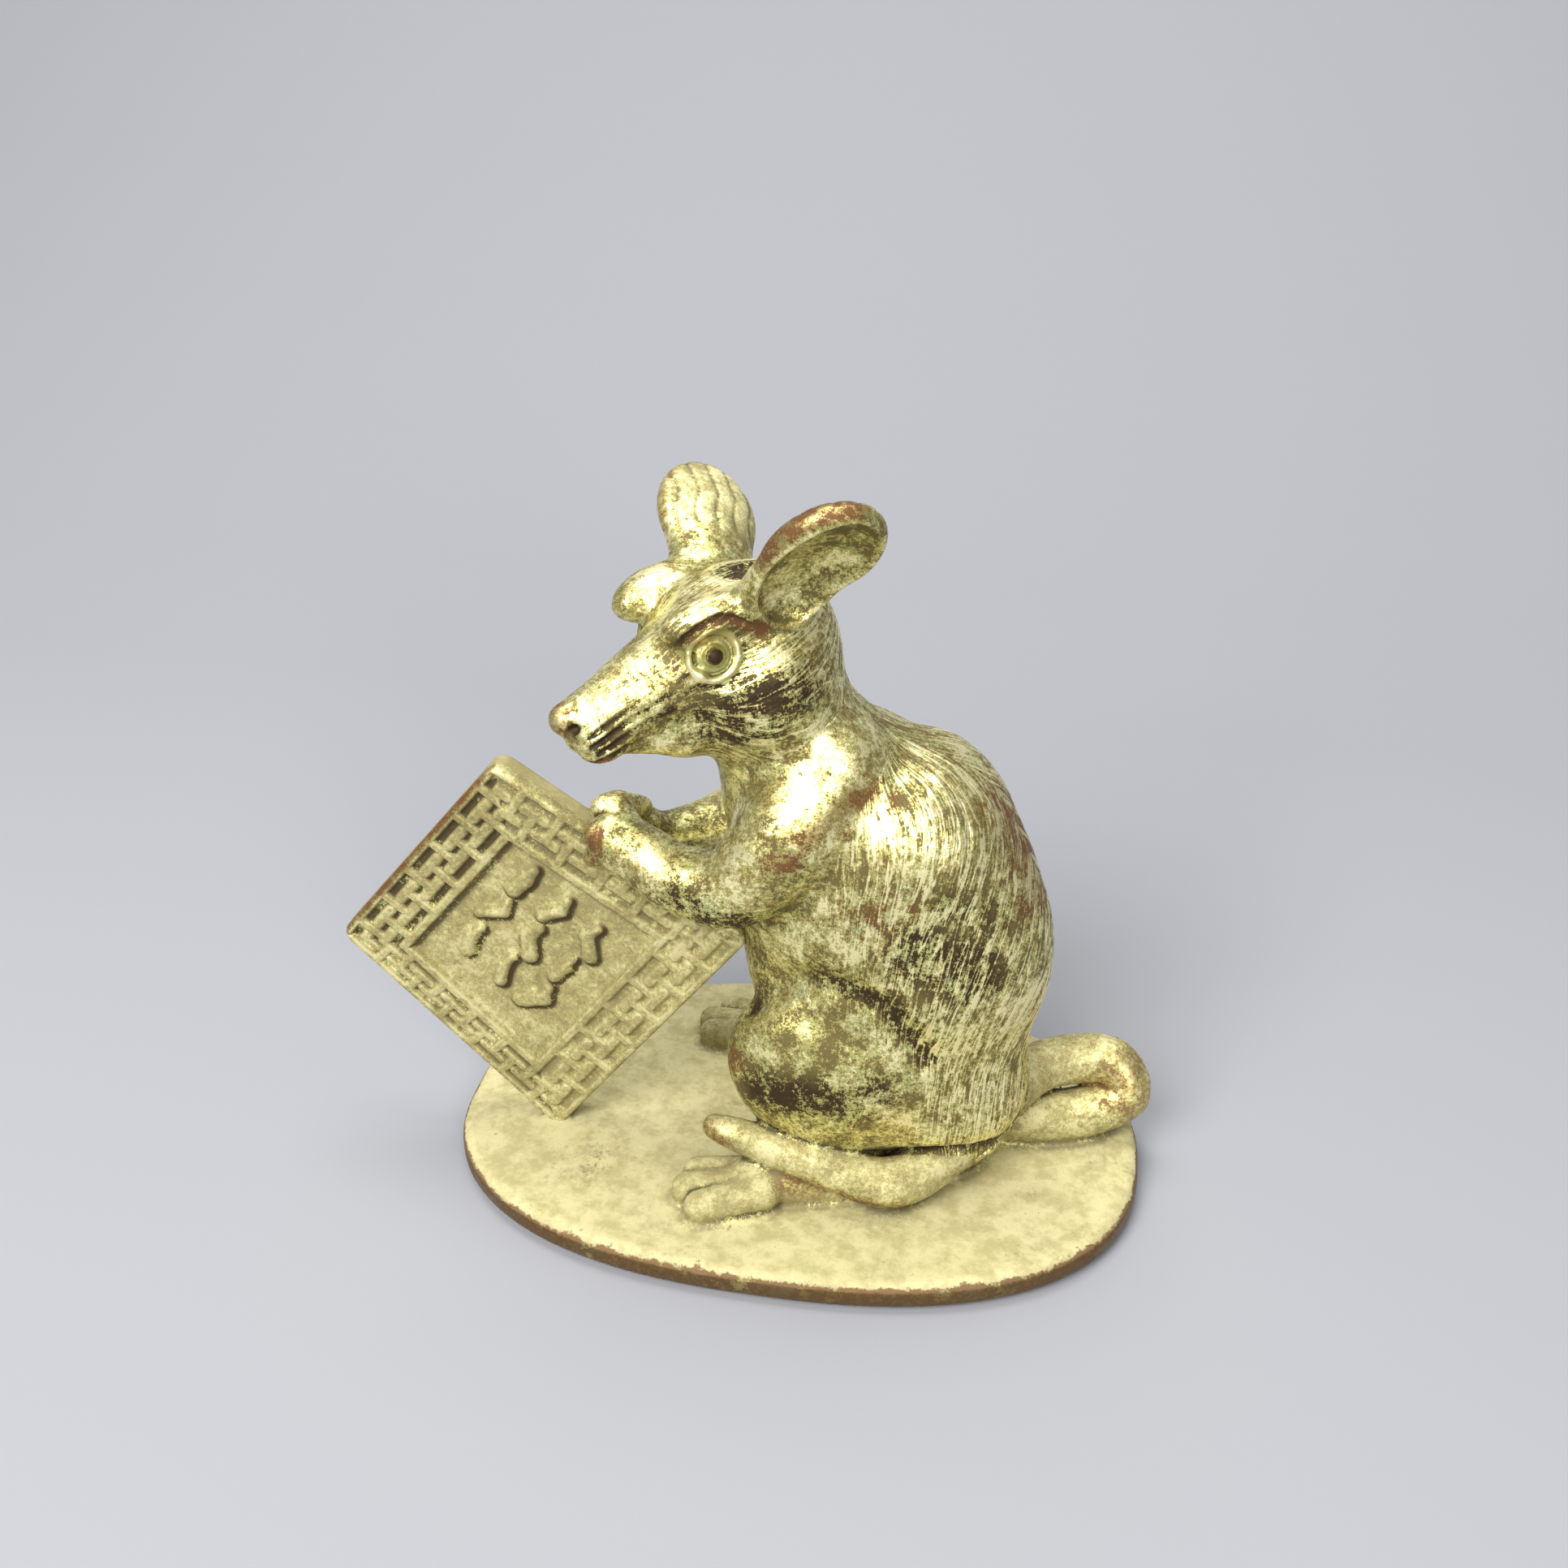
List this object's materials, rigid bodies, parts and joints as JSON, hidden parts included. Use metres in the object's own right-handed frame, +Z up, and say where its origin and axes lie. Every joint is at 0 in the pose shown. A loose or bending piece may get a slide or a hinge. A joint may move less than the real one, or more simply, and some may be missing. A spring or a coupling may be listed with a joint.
{
  "type": "animal figurine",
  "caption": "Cast bronze desk figurine of a seated rat holding an upright square tablet, on an oval base, with an antique green-gold patina.",
  "frame": {"origin": "middle of the oval base's flat underside", "axes": "+Z up; +Y away from the side of the tablet that carries the relief; the rat's body faces -X and its tail points to +X"},
  "size_m": [0.0927, 0.0534, 0.0839],
  "materials": {
    "patinated_bronze": "antique green-gold patina over bronze, rubbed to brown on the high edges"
  },
  "bodies": {
    "root": {"bronze_rat_figurine": "patinated_bronze"}
  },
  "joints": []
}
